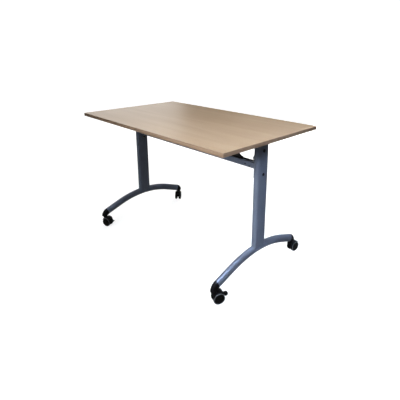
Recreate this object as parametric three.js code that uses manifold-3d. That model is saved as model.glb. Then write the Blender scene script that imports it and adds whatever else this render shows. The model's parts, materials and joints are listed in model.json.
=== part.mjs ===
// Flip top training table: a board that tips upright on two castor legs joined by a low beam.
// Millimetres, +Z up. The origin is on the floor under the middle of the board, +X runs along the
// board to the near leg and -Y points to the front edge, which rises when the board is tipped.
import * as THREE from 'three';
import { mergeVertices } from 'three/addons/utils/BufferGeometryUtils.js';
import Module from 'manifold-3d';

const wasm = await Module();
wasm.setup();

// Clearances
const seatGap = 0.2;
const weldGap = 0.3;
const runningGap = 0.2;
const holeGap = 0.4;
const washerGap = 0.5;
const spigotGap = 0.6;

// Board
const tableHeight = 750;
const boardLength = 1200;
const boardWidth = 700;
const boardThickness = 18;
const edgeBandThickness = 2;
const edgeCornerRadius = 3;

// Legs
const legInset = 87;
const legSetback = 4;
const columnDepth = 85;
const columnWidth = 30;
const tubeWall = 2;
const capThickness = 3;
const capSpigot = 12;
const footRadius = 594;
const footBend = THREE.MathUtils.degToRad(19.5);
const footInset = 57;
const footHeight = 44;
const footWidth = 30;

// Elbows between the feet and the castors
const elbowRadius = 29;
const elbowDrop = 22;
const elbowTurnEnd = THREE.MathUtils.degToRad(88);
const spigotLength = 18;
const socketDepth = 24;

// Castors
const wheelRadius = 29;
const wheelWidth = 13.3;
const wheelSides = 20;
const wheelShoulder = 1.5;
const wheelDishRadius = 22;
const wheelDishDepth = 2;
const wheelGap = 1.4;
const wheelWebGap = 0.7;
const castorTrail = 19;
const hoodThickness = 3.2;
const hoodShoulder = 2.4;
const hoodWebThickness = 12;
const hoodRearAngle = THREE.MathUtils.degToRad(45);
const hoodFrontAngle = THREE.MathUtils.degToRad(152);
const axleBossRadius = 11;
const axleRadius = 4;
const swivelBossRadius = 13;
const swivelNeck = 7.4;
const swivelGap = 0.6;
const stemRadius = 5.5;
const stemSeat = 15;

// Brake pedals of the front castors
const brakePivotRadius = 23;
const brakePivotAngle = THREE.MathUtils.degToRad(8);
const brakeLugRadius = 5;
const brakeSeatRadius = 26;
const brakeSeatAngle = THREE.MathUtils.degToRad(-14);
const brakePadWidth = 28;
const brakePadThickness = 5;
const brakePadStart = 8.4;
const brakePadEnd = 26.5;
const brakePadCorner = 11;
const brakePadAngle = THREE.MathUtils.degToRad(15);

// Flip pivot and its brackets
const pivotDrop = 59;
const headClearance = 4.5;
const bracketThickness = 5;
const bracketLength = 300;
const bracketEndHeight = 9;
const bracketTaper = 34;
const bracketWebHeight = 25;
const flangeThickness = 3;
const flangeWidth = 34;
const bracketHubRadius = 16;
const bracketNeckWidth = 26;
const sectorRearAngle = THREE.MathUtils.degToRad(370);
const pivotBoltRadius = 5;
const bushWall = 1.6;
const bushFlangeRadius = 10;
const bushFlangeThickness = 1;
const flipAngle = THREE.MathUtils.degToRad(90);

// Screws that hold the brackets to the board
const screwRadius = 2.4;
const screwHeadRadius = 5;
const screwHeadHeight = 3;
const screwGrip = 13;
const screwLead = 118;

// Stop buffers under the brackets
const bufferRadius = 6;
const bufferLead = 20;
const bufferLength = 6;

// Lock: a release shaft with a cam at each bracket and one lever
const shaftDrop = 56;
const shaftLead = 18;
const shaftRadius = 4;
const camHubRadius = 7;
const camRadius = 13.5;
const camHalfAngle = THREE.MathUtils.degToRad(30);
const camClearance = 0.5;
const lockAngle = THREE.MathUtils.degToRad(90);
const leverHubRadius = 8;
const leverWidth = 75;
const leverInset = 86;
const leverLength = 62;
const leverRootThickness = 10;
const leverTipRadius = 4.5;
const leverRestAngle = THREE.MathUtils.degToRad(135);

// Beam and its bolted ends
const beamHeight = 30;
const beamDepth = 40;
const beamCornerRadius = 4;
const beamShaftGap = 2;
const endPlateThickness = 6;
const endPlateWidth = 55;
const endPlateFoot = 22;
const boltSpacing = 118;
const boltHeadRadius = 8;
const boltHeadHeight = 5;
const boltHeadRim = 1.5;
const nutAcrossFlats = 17;
const nutHeight = 8;
const boltEnd = 2;

// Facets
const arcSegments = 5;
const ovalSegments = 10;
const cornerSegments = 3;
const holeSegments = 16;
const footSteps = 12;
const elbowSteps = 5;

// Heights and places worked out from the sizes above
const underside = tableHeight - boardThickness;
const pivotZ = underside - pivotDrop;
const headRise = Math.sqrt((pivotDrop - headClearance) ** 2 - (columnDepth / 2) ** 2);
const columnTop = pivotZ + headRise - capThickness - seatGap;
const legX = boardLength / 2 - legInset;
const outerFace = legX + columnWidth / 2;
const innerFace = legX - columnWidth / 2;
const plateOuter = innerFace - seatGap;
const plateInner = plateOuter - endPlateThickness;
const bracketOuter = plateInner - washerGap;
const bracketInner = bracketOuter - bracketThickness;
const shaftY = legSetback - shaftLead;
const shaftZ = pivotZ - shaftDrop;
const beamTop = shaftZ - leverHubRadius - beamShaftGap;
const lowerBoltZ = pivotZ - boltSpacing;
const axleHeight = wheelRadius * Math.cos(Math.PI / wheelSides);
const hoodRadius = wheelRadius + wheelGap + hoodThickness;
const castorHeight = axleHeight + hoodRadius + swivelNeck;
const footEndY = boardWidth / 2 - footInset;
const footEndZ = castorHeight + elbowDrop;
const bendY = footRadius * Math.sin(footBend);
const bendZ = footEndZ + (footEndY - bendY) * Math.tan(footBend);
const footApexZ = bendZ + footRadius * (1 - Math.cos(footBend));
const castorTurn = Math.acos(Math.cos(footBend) - elbowDrop / elbowRadius);
const castorReach = footEndY + elbowRadius * (Math.sin(castorTurn) - Math.sin(footBend));

// Finishes
const beechBoard = { color: 0xc4b097, roughness: 0.45, metalness: 0 };
const beechEdge = { color: 0x947a62, roughness: 0.5, metalness: 0 };
const greyPaint = { color: 0x566078, roughness: 0.4, metalness: 0.15 };
const zincSteel = { color: 0x8a8d90, roughness: 0.35, metalness: 0.9 };
const blackSteel = { color: 0x17181a, roughness: 0.45, metalness: 0.6 };
const blackNylon = { color: 0x101113, roughness: 0.55, metalness: 0 };
const blackRubber = { color: 0x0c0c0d, roughness: 0.8, metalness: 0 };
const whiteNylon = { color: 0xd8d6cf, roughness: 0.5, metalness: 0 };

const table = new THREE.Group();

// Adds one named piece to a group
function addPiece(parent, name, geometry, finish) {
  const mesh = new THREE.Mesh(geometry, new THREE.MeshStandardMaterial(finish));
  mesh.name = name;
  parent.add(mesh);
  return mesh;
}

// Makes a closed solid of a geometry: corners merged and flattened triangles left out
function solid(geometry) {
  const corners = new THREE.BufferGeometry();
  corners.setAttribute('position', geometry.getAttribute('position'));
  corners.setIndex(geometry.getIndex());
  const merged = mergeVertices(corners);
  const triangles = [];
  for (let i = 0; i < merged.index.count; i += 3) {
    const [a, b, c] = merged.index.array.slice(i, i + 3);
    if (a !== b && b !== c && c !== a) {
      triangles.push(a, b, c);
    }
  }
  const vertProperties = new Float32Array(merged.getAttribute('position').array);
  const triVerts = new Uint32Array(triangles);
  return new wasm.Manifold(new wasm.Mesh({ numProp: 3, vertProperties, triVerts }));
}

// Gives a solid's faces back as a geometry
function faces(body) {
  const mesh = body.getMesh();
  const geometry = new THREE.BufferGeometry();
  geometry.setAttribute('position', new THREE.BufferAttribute(mesh.vertProperties, 3));
  geometry.setIndex(new THREE.BufferAttribute(mesh.triVerts, 1));
  return geometry;
}

// Extrudes an outline drawn in (y, z) along +X, starting at x
const alongX = new THREE.Matrix4().makeBasis(
  new THREE.Vector3(0, 1, 0),
  new THREE.Vector3(0, 0, 1),
  new THREE.Vector3(1, 0, 0),
);
function extrudeX(outline, length, x) {
  const options = { depth: length, bevelEnabled: false, curveSegments: arcSegments };
  return new THREE.ExtrudeGeometry(outline, options).applyMatrix4(alongX).translate(x, 0, 0);
}

// Extrudes an outline drawn in (x, z) along Y, with its middle at y = 0
const acrossY = new THREE.Matrix4().makeBasis(
  new THREE.Vector3(1, 0, 0),
  new THREE.Vector3(0, 0, 1),
  new THREE.Vector3(0, -1, 0),
);
function extrudeY(outline, width) {
  const options = { depth: width, bevelEnabled: false, curveSegments: arcSegments };
  return new THREE.ExtrudeGeometry(outline, options).translate(0, 0, -width / 2).applyMatrix4(acrossY);
}

// Extrudes an outline drawn in (x, y) upwards from z
function extrudeZ(outline, height, z) {
  const options = { depth: height, bevelEnabled: false, curveSegments: arcSegments };
  return new THREE.ExtrudeGeometry(outline, options).translate(0, 0, z);
}

// A round bar along X from one x to another
function barX(radius, x0, x1, y, z) {
  const bar = new THREE.CylinderGeometry(radius, radius, Math.abs(x1 - x0), holeSegments);
  return bar.rotateZ(Math.PI / 2).translate((x0 + x1) / 2, y, z);
}

// A round bar along Z from one z to another
function barZ(radius, z0, z1, x, y) {
  const bar = new THREE.CylinderGeometry(radius, radius, z1 - z0, holeSegments);
  return bar.rotateX(Math.PI / 2).translate(x, y, (z0 + z1) / 2);
}

// Rectangle with round corners, about a centre
function roundedRectangle(path, cx, cy, width, height, radius) {
  const points = [];
  const steps = cornerSegments;
  for (let quarter = 0; quarter < 4; quarter += 1) {
    const turn = quarter * Math.PI / 2;
    const x = cx + Math.sign(Math.cos(turn + Math.PI / 4)) * (width / 2 - radius);
    const y = cy + Math.sign(Math.sin(turn + Math.PI / 4)) * (height / 2 - radius);
    for (let step = 0; step <= steps; step += 1) {
      const angle = turn + step * Math.PI / 2 / steps;
      points.push(new THREE.Vector2(x + radius * Math.cos(angle), y + radius * Math.sin(angle)));
    }
  }
  path.setFromPoints(points);
  path.closePath();
  return path;
}

// Flat oval with round ends, long way along y
function flatOval(path, width, depth) {
  const radius = width / 2;
  const straight = depth / 2 - radius;
  path.absarc(0, straight, radius, 0, Math.PI, false);
  path.absarc(0, -straight, radius, Math.PI, Math.PI * 2, false);
  path.closePath();
  return path;
}

function oval(path, width, height) {
  path.absellipse(0, 0, width / 2, height / 2, 0, Math.PI * 2, false, 0);
  return path;
}

// Round hole with as many sides as the bars that run in it
function circle(path, x, y, radius) {
  const corners = [];
  for (let corner = 0; corner < holeSegments; corner += 1) {
    const angle = corner * Math.PI * 2 / holeSegments;
    corners.push(new THREE.Vector2(x + radius * Math.cos(angle), y + radius * Math.sin(angle)));
  }
  path.setFromPoints(corners);
  path.closePath();
  return path;
}

// Centre line of a foot in the (y, z) plane of its leg: a bend over the middle with two straight ends
class FootLine extends THREE.Curve {
  getPoint(t, target = new THREE.Vector3()) {
    const y = footEndY * (2 * t - 1);
    const beyond = Math.max(0, Math.abs(y) - bendY);
    const inBend = Math.abs(y) - beyond;
    const fall = footRadius - Math.sqrt(footRadius ** 2 - inBend ** 2) + beyond * Math.tan(footBend);
    return target.set(0, y, footApexZ - fall);
  }
}

// Centre line of an elbow, which carries a foot on downwards
class ElbowLine extends THREE.Curve {
  constructor(end, startY, startZ) {
    super();
    Object.assign(this, { end, startY, startZ });
  }

  getPoint(t, target = new THREE.Vector3()) {
    const turn = footBend + (elbowTurnEnd - footBend) * t;
    const y = this.startY + elbowRadius * (Math.sin(turn) - Math.sin(footBend));
    const z = this.startZ - elbowRadius * (Math.cos(footBend) - Math.cos(turn));
    return target.set(0, this.end * y, z);
  }
}

function sweep(outline, path, steps) {
  const options = { steps, extrudePath: path, curveSegments: ovalSegments };
  return new THREE.ExtrudeGeometry(outline, options);
}

// Places of the bracket screws, two on each bracket
function screwPlaces() {
  const x = bracketInner - (flangeWidth - bracketThickness) / 2;
  return [1, -1].flatMap((side) => [-1, 1].map((end) => [side * x, legSetback + end * screwLead]));
}

// Board with its edge band
function addBoard() {
  const coreLength = boardLength - 2 * edgeBandThickness;
  const coreWidth = boardWidth - 2 * edgeBandThickness;
  const slab = new THREE.BoxGeometry(coreLength - 2 * seatGap, coreWidth - 2 * seatGap, boardThickness);
  let core = solid(slab.translate(0, 0, underside + boardThickness / 2));
  for (const [x, y] of screwPlaces()) {
    core = core.subtract(solid(barZ(screwRadius + runningGap, underside - 1, underside + screwGrip, x, y)));
  }
  addPiece(table, 'top_board', faces(core), beechBoard);

  const band = roundedRectangle(new THREE.Shape(), 0, 0, boardLength, boardWidth, edgeCornerRadius);
  const inside = new THREE.Path();
  inside.moveTo(-coreLength / 2, -coreWidth / 2);
  inside.lineTo(coreLength / 2, -coreWidth / 2);
  inside.lineTo(coreLength / 2, coreWidth / 2);
  inside.lineTo(-coreLength / 2, coreWidth / 2);
  inside.closePath();
  band.holes.push(inside);
  addPiece(table, 'top_edge_band', extrudeZ(band, boardThickness, underside), beechEdge);
}

// Outline of a flip bracket about its pivot, in (y, z): a web under the board, a hub on the pivot and
// a sector below it with one round notch for the lock cam flat and one for the cam upright
const webTop = pivotDrop - seatGap;
const webBottom = webTop - flangeThickness - bracketWebHeight;
const flangeBottom = pivotZ + webTop - flangeThickness;
const bufferRise = webBottom - seatGap - bufferRadius;
const bufferReach = Math.hypot(bufferLead, bufferRise);
const bufferAngle = Math.atan2(bufferRise, -bufferLead);
const shaftReach = Math.hypot(shaftLead, shaftDrop);
const shaftAngle = Math.PI + Math.atan2(shaftDrop, shaftLead);
const rimRadius = shaftReach - camHubRadius - camClearance;

function bracketOutline() {
  const outline = new THREE.Shape();
  const notchRadius = camRadius + camClearance;
  const notchSpread = Math.acos(
    (shaftReach ** 2 + rimRadius ** 2 - notchRadius ** 2) / (2 * shaftReach * rimRadius),
  );
  const frontAngle = bufferAngle + flipAngle + Math.asin((bufferRadius + seatGap) / bufferReach);
  const neck = bracketNeckWidth / 2;
  const neckRise = Math.sqrt(bracketHubRadius ** 2 - neck ** 2);
  const neckAngle = Math.atan2(neckRise, neck);
  const end = bracketLength / 2;

  outline.moveTo(-end, webTop);
  outline.lineTo(-end, webTop - bracketEndHeight);
  outline.lineTo(-end + bracketTaper, webBottom);
  outline.lineTo(-neck, webBottom);
  outline.absarc(0, 0, bracketHubRadius, Math.PI - neckAngle, frontAngle, false);
  let rimStart = frontAngle;
  for (const notchAngle of [shaftAngle, shaftAngle + flipAngle]) {
    const centre = new THREE.Vector2(Math.cos(notchAngle), Math.sin(notchAngle)).multiplyScalar(shaftReach);
    const enter = notchAngle - notchSpread;
    const leave = notchAngle + notchSpread;
    const from = new THREE.Vector2(Math.cos(enter), Math.sin(enter)).multiplyScalar(rimRadius).sub(centre);
    const to = new THREE.Vector2(Math.cos(leave), Math.sin(leave)).multiplyScalar(rimRadius).sub(centre);
    outline.absarc(0, 0, rimRadius, rimStart, enter, false);
    outline.absarc(centre.x, centre.y, notchRadius, from.angle(), to.angle(), true);
    rimStart = leave;
  }
  outline.absarc(0, 0, rimRadius, rimStart, sectorRearAngle, false);
  outline.absarc(0, 0, bracketHubRadius, sectorRearAngle - Math.PI * 2, neckAngle, false);
  outline.lineTo(neck, webBottom);
  outline.lineTo(end - bracketTaper, webBottom);
  outline.lineTo(end, webTop - bracketEndHeight);
  outline.lineTo(end, webTop);
  outline.closePath();
  const bushOuter = pivotBoltRadius + runningGap + bushWall;
  outline.holes.push(circle(new THREE.Path(), 0, 0, bushOuter + runningGap));
  return outline;
}

// Flip bracket, its bush and the pivot bolt of one side
function addFlipBracket(side, label) {
  const x0 = side > 0 ? bracketInner : -bracketOuter;
  const plate = solid(extrudeX(bracketOutline(), bracketThickness, x0));
  const flange = new THREE.BoxGeometry(flangeWidth, bracketLength, flangeThickness);
  flange.translate(side * (bracketOuter - flangeWidth / 2), 0, webTop - flangeThickness / 2);
  let bracket = plate.add(solid(flange)).translate([0, legSetback, pivotZ]);
  for (const [x, y] of screwPlaces()) {
    bracket = bracket.subtract(solid(barZ(screwRadius + holeGap, flangeBottom - 1, underside, x, y)));
  }
  addPiece(table, `flip_bracket_${label}`, faces(bracket), greyPaint);

  const bore = pivotBoltRadius + runningGap;
  const outer = bore + bushWall;
  const profile = [
    new THREE.Vector2(bore, 0),
    new THREE.Vector2(bushFlangeRadius, 0),
    new THREE.Vector2(bushFlangeRadius, bushFlangeThickness),
    new THREE.Vector2(outer, bushFlangeThickness),
    new THREE.Vector2(outer, bushFlangeThickness + seatGap + bracketThickness),
    new THREE.Vector2(bore, bushFlangeThickness + seatGap + bracketThickness),
    new THREE.Vector2(bore, 0),
  ];
  const bush = new THREE.LatheGeometry(profile, holeSegments).rotateZ(-side * Math.PI / 2);
  bush.translate(side * (bracketInner - seatGap - bushFlangeThickness), legSetback, pivotZ);
  addPiece(table, `pivot_bush_${label}`, bush, whiteNylon);
}

// Screw up through a bracket's flange into the board
function addScrew(name, x, y) {
  const seat = flangeBottom - seatGap;
  const tip = underside + screwGrip - seatGap;
  const profile = [
    new THREE.Vector2(0, seat - screwHeadHeight),
    new THREE.Vector2(screwHeadRadius * 0.6, seat - screwHeadHeight),
    new THREE.Vector2(screwHeadRadius, seat - screwHeadHeight / 2),
    new THREE.Vector2(screwHeadRadius, seat),
    new THREE.Vector2(screwRadius, seat),
    new THREE.Vector2(screwRadius, tip - screwRadius),
    new THREE.Vector2(0, tip),
  ];
  const screw = new THREE.LatheGeometry(profile, holeSegments).rotateX(Math.PI / 2);
  addPiece(table, name, screw.translate(x, y, 0), zincSteel);
}

// Domed bolt through a column, from the outer face inwards, with its nut
function addBolt(side, name, z, nutSeat) {
  const length = outerFace + seatGap - (nutSeat - nutHeight - boltEnd);
  const profile = [
    new THREE.Vector2(0, -length),
    new THREE.Vector2(pivotBoltRadius, -length),
    new THREE.Vector2(pivotBoltRadius, 0),
    new THREE.Vector2(boltHeadRadius, 0),
    new THREE.Vector2(boltHeadRadius, boltHeadRim),
    new THREE.Vector2(boltHeadRadius * 0.8, boltHeadHeight * 0.72),
    new THREE.Vector2(boltHeadRadius * 0.45, boltHeadHeight * 0.94),
    new THREE.Vector2(0, boltHeadHeight),
  ];
  const bolt = new THREE.LatheGeometry(profile, holeSegments).rotateZ(-side * Math.PI / 2);
  bolt.translate(side * (outerFace + seatGap), legSetback, z);
  addPiece(table, name, bolt, blackSteel);

  const hexagon = new THREE.Shape();
  for (let corner = 0; corner < 6; corner += 1) {
    const angle = corner * Math.PI / 3;
    const reach = nutAcrossFlats / Math.sqrt(3);
    hexagon[corner ? 'lineTo' : 'moveTo'](reach * Math.cos(angle), reach * Math.sin(angle));
  }
  hexagon.closePath();
  hexagon.holes.push(circle(new THREE.Path(), 0, 0, pivotBoltRadius + runningGap));
  const nutStart = side > 0 ? nutSeat - nutHeight : -nutSeat;
  const nut = extrudeX(hexagon, nutHeight, nutStart).translate(0, legSetback, z);
  addPiece(table, name.replace('bolt', 'nut'), nut, zincSteel);
}

// Plate on the end of the beam, bolted to the column, with the buffer that the bracket rests on
function addEndPlate(side, label) {
  const foot = lowerBoltZ - endPlateFoot;
  const outline = new THREE.Shape();
  const middle = (foot + columnTop) / 2;
  roundedRectangle(outline, legSetback, middle, endPlateWidth, columnTop - foot, beamCornerRadius);
  outline.holes.push(circle(new THREE.Path(), legSetback, pivotZ, pivotBoltRadius + holeGap));
  outline.holes.push(circle(new THREE.Path(), legSetback, lowerBoltZ, pivotBoltRadius + holeGap));
  outline.holes.push(circle(new THREE.Path(), shaftY, shaftZ, shaftRadius + runningGap));
  const x0 = side > 0 ? plateInner : -plateOuter;
  addPiece(table, `beam_end_plate_${label}`, extrudeX(outline, endPlateThickness, x0), greyPaint);

  const bufferStart = plateInner - seatGap;
  const buffer = barX(
    bufferRadius,
    side * bufferStart,
    side * (bufferStart - bufferLength),
    legSetback - bufferLead,
    pivotZ + bufferRise,
  );
  addPiece(table, `stop_buffer_${label}`, buffer, blackRubber);
}

function addBeam() {
  const middle = beamTop - beamHeight / 2;
  const outline = new THREE.Shape();
  roundedRectangle(outline, legSetback, middle, beamDepth, beamHeight, beamCornerRadius);
  const inside = new THREE.Path();
  const inset = 2 * tubeWall;
  const insideRadius = beamCornerRadius - tubeWall;
  roundedRectangle(inside, legSetback, middle, beamDepth - inset, beamHeight - inset, insideRadius);
  outline.holes.push(inside);
  const reach = plateInner - seatGap;
  addPiece(table, 'beam', extrudeX(outline, 2 * reach, -reach), greyPaint);
}

// Release shaft in the two end plates, with a lock cam at each bracket and the hand lever
function addLock() {
  const reach = plateOuter - runningGap;
  addPiece(table, 'release_shaft', barX(shaftRadius, -reach, reach, shaftY, shaftZ), blackSteel);

  const shaftHole = shaftRadius + runningGap;
  const rest = shaftAngle + Math.PI + lockAngle;
  const waist = Math.PI / 2;
  const cam = new THREE.Shape();
  cam.absarc(0, 0, camRadius, rest - camHalfAngle, rest + camHalfAngle, false);
  cam.absarc(0, 0, camHubRadius, rest + waist, rest + Math.PI * 2 - waist, false);
  cam.closePath();
  cam.holes.push(circle(new THREE.Path(), 0, 0, shaftHole));
  for (const [side, label] of [[1, 'near'], [-1, 'far']]) {
    const x0 = side > 0 ? bracketInner : -bracketOuter;
    const plate = extrudeX(cam, bracketThickness, x0).translate(0, shaftY, shaftZ);
    addPiece(table, `lock_cam_${label}`, plate, zincSteel);
  }

  const lever = new THREE.Shape();
  const root = Math.asin(leverRootThickness / 2 / leverHubRadius);
  const rootReach = leverHubRadius * Math.cos(root);
  lever.absarc(0, 0, leverHubRadius, root, Math.PI * 2 - root, false);
  lever.quadraticCurveTo(rootReach + leverTipRadius, -leverTipRadius / 2, leverLength, -leverTipRadius);
  lever.absarc(leverLength, 0, leverTipRadius, -Math.PI / 2, Math.PI / 2, false);
  lever.quadraticCurveTo(rootReach + leverTipRadius, leverTipRadius / 2, rootReach, leverRootThickness / 2);
  lever.closePath();
  lever.holes.push(circle(new THREE.Path(), 0, 0, shaftHole));
  const handle = extrudeX(lever, leverWidth, 0).rotateX(leverRestAngle);
  handle.translate(innerFace - leverInset - leverWidth, shaftY, shaftZ);
  addPiece(table, 'release_lever', handle, blackNylon);
}

// Flat-oval column, coped over the foot and drilled for its two bolts, with a plug in its top
function addColumn(side, label) {
  const outline = flatOval(new THREE.Shape(), columnWidth, columnDepth);
  const inset = 2 * tubeWall;
  outline.holes.push(flatOval(new THREE.Path(), columnWidth - inset, columnDepth - inset));
  let tube = solid(extrudeZ(outline, columnTop - footApexZ, footApexZ));
  const foot = oval(new THREE.Shape(), footWidth + 2 * weldGap, footHeight + 2 * weldGap);
  tube = tube.subtract(solid(sweep(foot, new FootLine(), footSteps)));
  for (const z of [pivotZ, lowerBoltZ]) {
    tube = tube.subtract(solid(barX(pivotBoltRadius + holeGap, -columnWidth, columnWidth, 0, z)));
  }
  const column = faces(tube).translate(side * legX, legSetback, 0);
  addPiece(table, `column_${label}`, column, greyPaint);

  const lid = flatOval(new THREE.Shape(), columnWidth, columnDepth);
  const plug = 2 * (tubeWall + seatGap);
  const spigot = flatOval(new THREE.Shape(), columnWidth - plug, columnDepth - plug);
  const lidBottom = columnTop + seatGap;
  const spigotLift = capSpigot + capThickness / 2;
  const cap = solid(extrudeZ(lid, capThickness, lidBottom));
  const capped = cap.add(solid(extrudeZ(spigot, spigotLift, lidBottom - capSpigot)));
  addPiece(table, `column_cap_${label}`, faces(capped).translate(side * legX, legSetback, 0), blackNylon);
}

function addFoot(side, label) {
  const outline = oval(new THREE.Shape(), footWidth, footHeight);
  outline.holes.push(oval(new THREE.Path(), footWidth - 2 * tubeWall, footHeight - 2 * tubeWall));
  const foot = sweep(outline, new FootLine(), footSteps).translate(side * legX, legSetback, 0);
  addPiece(table, `foot_${label}`, foot, greyPaint);
}

// Moulded elbow in the end of a foot: it carries the oval on downwards, is cut level for the castor
// and has a spigot in the tube and a socket for the castor's stem
function addElbow(side, end, name) {
  const startY = footEndY + weldGap * Math.cos(footBend);
  const startZ = footEndZ - weldGap * Math.sin(footBend);
  const bend = new ElbowLine(end, startY, startZ);
  const shell = solid(sweep(oval(new THREE.Shape(), footWidth, footHeight), bend, elbowSteps));

  const inset = 2 * (tubeWall + spigotGap);
  const back = new THREE.Vector3(0, -end * Math.cos(footBend), Math.sin(footBend));
  const mouth = new THREE.Vector3(0, end * startY, startZ);
  const inner = mouth.clone().addScaledVector(back, spigotLength);
  const outer = mouth.clone().addScaledVector(back, -tubeWall);
  const spigotLine = new THREE.LineCurve3(outer, inner);
  const spigotOval = oval(new THREE.Shape(), footWidth - inset, footHeight - inset);
  const spigot = solid(sweep(spigotOval, spigotLine, 1));

  const below = new THREE.BoxGeometry(footWidth * 2, footHeight * 4, castorHeight);
  below.translate(0, end * (startY + footHeight), castorHeight / 2);
  const axisY = end * castorReach;
  const socket = barZ(stemRadius + runningGap, castorHeight - 1, castorHeight + socketDepth, 0, axisY);
  const elbow = shell.subtract(solid(below)).add(spigot).subtract(solid(socket));
  addPiece(table, name, faces(elbow).translate(side * legX, legSetback, 0), blackNylon);
}

// Castor: x along the trail from the swivel axis to the axle, y along the axle, z up from the floor.
// The hood is a crown with sloped shoulders over the wheels, a web between them and a swivel boss
function castorHood(braked) {
  const width = hoodWebThickness + 2 * (wheelWebGap + wheelWidth);
  const inside = wheelRadius + wheelGap;
  const profile = [
    new THREE.Vector2(inside, -width / 2),
    new THREE.Vector2(hoodRadius - hoodShoulder, -width / 2),
    new THREE.Vector2(hoodRadius, -width / 2 + hoodShoulder),
    new THREE.Vector2(hoodRadius, width / 2 - hoodShoulder),
    new THREE.Vector2(hoodRadius - hoodShoulder, width / 2),
    new THREE.Vector2(inside, width / 2),
    new THREE.Vector2(inside, -width / 2),
  ];
  const ring = new THREE.LatheGeometry(profile, wheelSides).translate(castorTrail, 0, axleHeight);
  const wedge = new THREE.Shape();
  wedge.moveTo(castorTrail, axleHeight);
  wedge.absarc(castorTrail, axleHeight, hoodRadius * 2, hoodRearAngle, hoodFrontAngle, false);
  wedge.closePath();
  const crown = solid(ring).intersect(solid(extrudeY(wedge, width * 2)));

  const web = new THREE.Shape();
  web.absarc(castorTrail, axleHeight, inside + hoodThickness / 2, hoodRearAngle, hoodFrontAngle, false);
  const webEnd = braked ? brakeSeatAngle : hoodRearAngle;
  web.absarc(castorTrail, axleHeight, axleBossRadius, hoodFrontAngle, Math.PI * 2 + webEnd, false);
  if (braked) {
    web.absarc(castorTrail, axleHeight, brakeSeatRadius, brakeSeatAngle, hoodRearAngle, false);
  }
  web.closePath();

  const top = castorHeight - swivelGap;
  let boss = solid(barZ(swivelBossRadius, axleHeight + axleBossRadius, top, 0, 0));
  for (const face of [1, -1]) {
    const pocket = new THREE.CylinderGeometry(inside, inside, width, wheelSides);
    pocket.translate(castorTrail, face * (hoodWebThickness + width) / 2, axleHeight);
    boss = boss.subtract(solid(pocket));
  }
  let hood = crown.add(solid(extrudeY(web, hoodWebThickness))).add(boss);
  const bore = axleRadius + runningGap;
  const axleHole = new THREE.CylinderGeometry(bore, bore, width, holeSegments);
  hood = hood.subtract(solid(axleHole.translate(castorTrail, 0, axleHeight)));
  if (braked) {
    const lugSeat = brakeLugRadius + holeGap;
    const hinge = new THREE.CylinderGeometry(lugSeat, lugSeat, width, holeSegments);
    const pivot = brakePivot();
    hood = hood.subtract(solid(hinge.translate(pivot.x, 0, pivot.y)));
  }
  const stemHole = barZ(stemRadius + runningGap, top - stemSeat, top + 1, 0, 0);
  return faces(hood.subtract(solid(stemHole)));
}

// Brake pivot in the castor's (x, z) plane, between the wheels behind the axle
function brakePivot() {
  const along = brakePivotRadius * Math.cos(brakePivotAngle);
  const up = brakePivotRadius * Math.sin(brakePivotAngle);
  return new THREE.Vector2(castorTrail + along, axleHeight + up);
}

function castorBrake() {
  const arm = new THREE.Shape();
  const neck = brakePadThickness / 2;
  const neckAngle = Math.asin(neck / brakeLugRadius);
  arm.absarc(0, 0, brakeLugRadius, neckAngle, Math.PI * 2 - neckAngle, false);
  arm.lineTo(brakePadStart + neck, -neck);
  arm.lineTo(brakePadStart + neck, neck);
  arm.closePath();
  const plate = new THREE.BoxGeometry(brakePadEnd - brakePadStart, brakePadWidth, brakePadThickness);
  plate.translate((brakePadStart + brakePadEnd) / 2, 0, 0);
  const plan = new THREE.Shape();
  roundedRectangle(plan, 0, 0, brakePadEnd * 2, brakePadWidth, brakePadCorner);
  const round = extrudeZ(plan, brakePadThickness * 2, -brakePadThickness);
  const pad = solid(plate).intersect(solid(round));
  const lever = solid(extrudeY(arm, hoodWebThickness - 2 * holeGap)).add(pad);
  const pivot = brakePivot();
  return faces(lever).rotateY(-brakePadAngle).translate(pivot.x, 0, pivot.y);
}

// One wheel on the +Y end of the axle: a dished outer face and a blind bore
function castorWheel() {
  const inner = hoodWebThickness / 2 + wheelWebGap;
  const outer = inner + wheelWidth;
  const dish = outer - wheelDishDepth;
  const boreEnd = dish - wheelDishDepth;
  const bore = axleRadius + runningGap;
  const profile = [
    new THREE.Vector2(0, boreEnd),
    new THREE.Vector2(bore, boreEnd),
    new THREE.Vector2(bore, inner),
    new THREE.Vector2(wheelRadius - wheelShoulder, inner),
    new THREE.Vector2(wheelRadius, inner + wheelShoulder),
    new THREE.Vector2(wheelRadius, outer - wheelShoulder),
    new THREE.Vector2(wheelRadius - wheelShoulder, outer),
    new THREE.Vector2(wheelDishRadius + wheelDishDepth, outer),
    new THREE.Vector2(wheelDishRadius, dish),
    new THREE.Vector2(0, dish),
  ];
  return new THREE.LatheGeometry(profile, wheelSides, Math.PI / wheelSides);
}

function castorStem() {
  const bottom = castorHeight - swivelGap - stemSeat + seatGap;
  const top = castorHeight + socketDepth - seatGap;
  const profile = [
    new THREE.Vector2(0, bottom),
    new THREE.Vector2(stemRadius, bottom),
    new THREE.Vector2(stemRadius, top - wheelShoulder),
    new THREE.Vector2(stemRadius - wheelShoulder, top),
    new THREE.Vector2(0, top),
  ];
  return new THREE.LatheGeometry(profile, holeSegments).rotateX(Math.PI / 2);
}

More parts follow.
